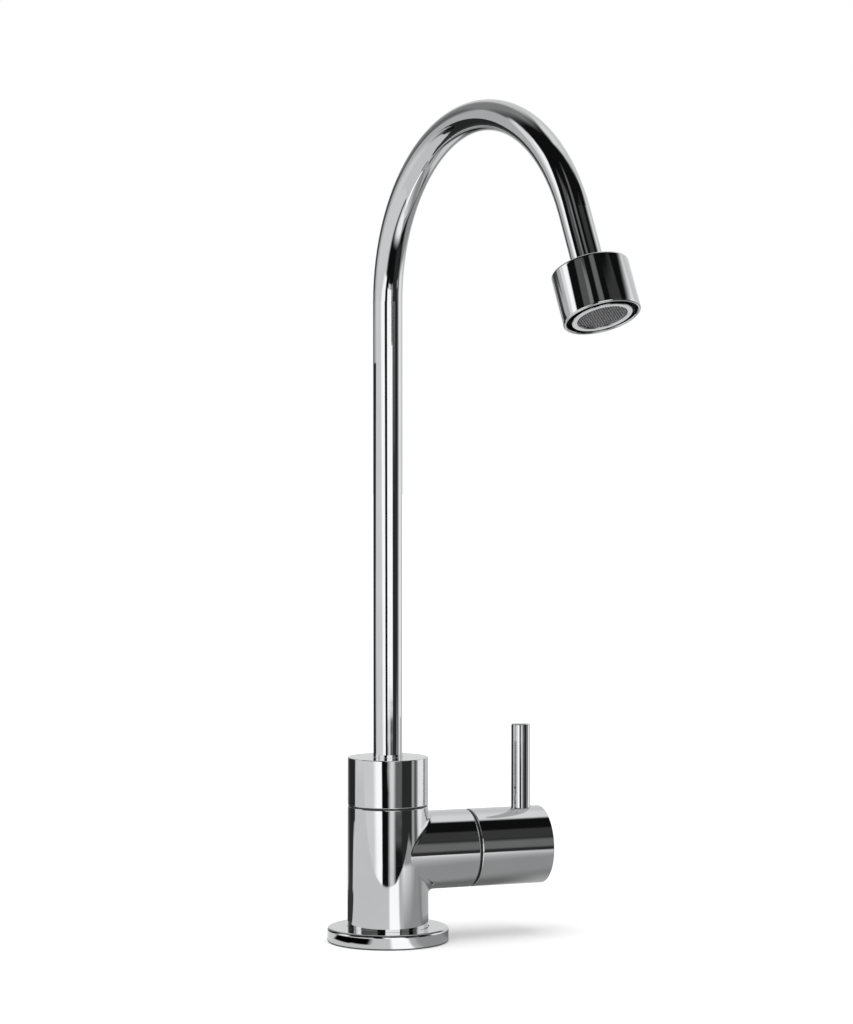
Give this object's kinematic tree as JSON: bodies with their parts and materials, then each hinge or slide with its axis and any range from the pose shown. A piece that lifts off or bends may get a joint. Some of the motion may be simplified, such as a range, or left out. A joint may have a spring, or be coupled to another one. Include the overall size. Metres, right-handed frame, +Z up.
{
  "type": "water tap",
  "caption": "Chromed pillar tap with a tall bent swivel spout, a side arm with a quarter-turn pin lever, and a threaded shank clamped under the worktop.",
  "frame": {"origin": "centre of the base flange's underside, where the tap stands on the worktop", "axes": "+Z up along the body, +X along the valve in the side arm, -Y towards the user; the spout points 79.4 degrees from +X towards -Y at rest"},
  "size_m": [0.0918, 0.1868, 0.4042],
  "materials": {
    "chrome_plate": "polished chrome plate",
    "raw_brass": "machined, unplated",
    "black_rubber": "matte",
    "white_ceramic": "lapped ceramic",
    "stainless_steel": "fine brushed",
    "black_acetal": "satin moulded",
    "white_acetal": "satin moulded"
  },
  "bodies": {
    "tap_body": {"base_flange": "chrome_plate", "flange_seal": "black_rubber", "body_casting": "chrome_plate", "inlet_shank": "raw_brass", "shank_seal": "black_rubber", "swivel_bush": "black_acetal", "cartridge_housing": "raw_brass", "cartridge_seal": "black_rubber", "seat_seal": "black_rubber", "fixed_disc": "white_ceramic", "glide_ring": "black_acetal"},
    "fixing_set": {"worktop_seal": "black_rubber", "clamp_washer": "stainless_steel", "backnut": "raw_brass"},
    "handle": {"handle_barrel": "chrome_plate", "handle_lever": "chrome_plate", "handle_grub_screw": "stainless_steel", "cartridge_stem": "raw_brass", "moving_disc": "white_ceramic", "stem_seals": "black_rubber", "stem_clip": "stainless_steel"},
    "spout": {"spout_spindle": "raw_brass", "spindle_seals": "black_rubber", "snap_ring": "black_acetal", "spout_collar": "chrome_plate", "spout_tube": "chrome_plate", "outlet_housing": "chrome_plate", "aerator_washer": "black_rubber", "aerator_casing": "chrome_plate", "jet_plate": "white_acetal", "screen_spacer": "white_acetal", "aerator_screen": "stainless_steel"}
  },
  "joints": [
    {"name": "spout_swivel", "type": "hinge", "parent": "tap_body", "child": "spout", "pos_m": [0, 0, 0.0553], "axis": [0, 0, 1], "continuous": true},
    {"name": "handle_turn", "type": "hinge", "parent": "tap_body", "child": "handle", "pos_m": [0.051, 0, 0.0364], "axis": [1, 0, 0], "range_deg": [0, 90]},
    {"name": "fixing_slide", "type": "slide", "parent": "tap_body", "child": "fixing_set", "axis": [0, 0, 1], "range_m": [-0.01, 0.025]}
  ]
}
